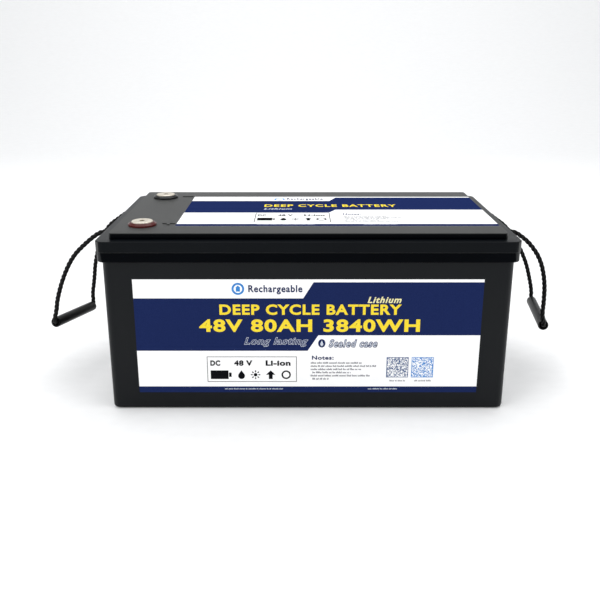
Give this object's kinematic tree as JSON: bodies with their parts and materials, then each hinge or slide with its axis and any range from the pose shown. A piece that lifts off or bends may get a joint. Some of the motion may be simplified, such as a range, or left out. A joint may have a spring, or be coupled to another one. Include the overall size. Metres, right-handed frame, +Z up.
{
  "type": "deep cycle battery",
  "caption": "Rectangular deep cycle battery with a stepped black lid, round threaded terminals and two swinging rope handles with tube grips.",
  "frame": {"origin": "centre of the case's base, on the floor", "axes": "+Z up, +X from the terminal end towards the other end, -Y towards the labelled front"},
  "size_m": [0.6572, 0.272, 0.2253],
  "materials": {
    "case_plastic": "satin",
    "lid_plastic": "satin",
    "black_plastic": "glossy",
    "red_plastic": "glossy",
    "grip_plastic": "glossy",
    "black_rubber": "matte",
    "cable_rubber": "satin",
    "orange_silicone": "satin",
    "black_foam": "matte",
    "vinyl_print": "satin",
    "rope_fibre": "matte",
    "tinned_brass": "satin",
    "copper_bar": "satin",
    "tinned_copper": "satin",
    "zinc_steel": "satin",
    "can_aluminium": "satin",
    "plate_aluminium": "satin",
    "glass_epoxy": "satin",
    "green_board": "satin",
    "ribbon_film": "glossy"
  },
  "bodies": {
    "root": {"case": "case_plastic", "lid": "lid_plastic", "lid_seal": "black_rubber", "front_label": "vinyl_print", "top_label": "vinyl_print", "positive_terminal": "tinned_brass", "negative_terminal": "tinned_brass", "positive_collar": "red_plastic", "negative_collar": "black_plastic", "terminal_o_rings": "black_rubber", "terminal_washers": "zinc_steel", "terminal_nuts": "zinc_steel", "rope_bushes": "black_plastic", "left_rope_ends": "rope_fibre", "right_rope_ends": "rope_fibre", "cell_01": "can_aluminium", "cell_02": "can_aluminium", "cell_03": "can_aluminium", "cell_04": "can_aluminium", "cell_05": "can_aluminium", "cell_06": "can_aluminium", "cell_07": "can_aluminium", "cell_08": "can_aluminium", "cell_09": "can_aluminium", "cell_10": "can_aluminium", "cell_11": "can_aluminium", "cell_12": "can_aluminium", "cell_13": "can_aluminium", "cell_14": "can_aluminium", "cell_15": "can_aluminium", "cell_16": "can_aluminium", "cell_posts": "can_aluminium", "busbar_nuts": "zinc_steel", "front_busbars": "copper_bar", "rear_busbars": "copper_bar", "row_link": "copper_bar", "positive_bar": "copper_bar", "negative_bar": "copper_bar", "cell_spacers": "glass_epoxy", "end_plates": "plate_aluminium", "pack_straps": "zinc_steel", "top_sheet": "glass_epoxy", "floor_pad": "black_foam", "end_foams": "black_foam", "top_foams": "black_foam", "insulation_sheets": "glass_epoxy", "heater_mat": "orange_silicone", "bms_base": "plate_aluminium", "bms_board": "green_board", "bms_transistors": "black_plastic", "bms_heat_sink": "plate_aluminium", "wireless_module": "green_board", "bms_cables": "cable_rubber", "cable_lugs": "tinned_copper", "lug_bolts": "zinc_steel", "sense_ribbons": "ribbon_film"},
    "left_handle": {"left_rope": "rope_fibre", "left_grip": "grip_plastic"},
    "right_handle": {"right_rope": "rope_fibre", "right_grip": "grip_plastic"}
  },
  "joints": [
    {"name": "left_handle_swing", "type": "hinge", "parent": "root", "child": "left_handle", "pos_m": [-0.254, 0, 0.206], "axis": [0, 1, 0], "range_deg": [-22, 120]},
    {"name": "right_handle_swing", "type": "hinge", "parent": "root", "child": "right_handle", "pos_m": [0.254, 0, 0.206], "axis": [0, -1, 0], "range_deg": [-22, 120]}
  ]
}
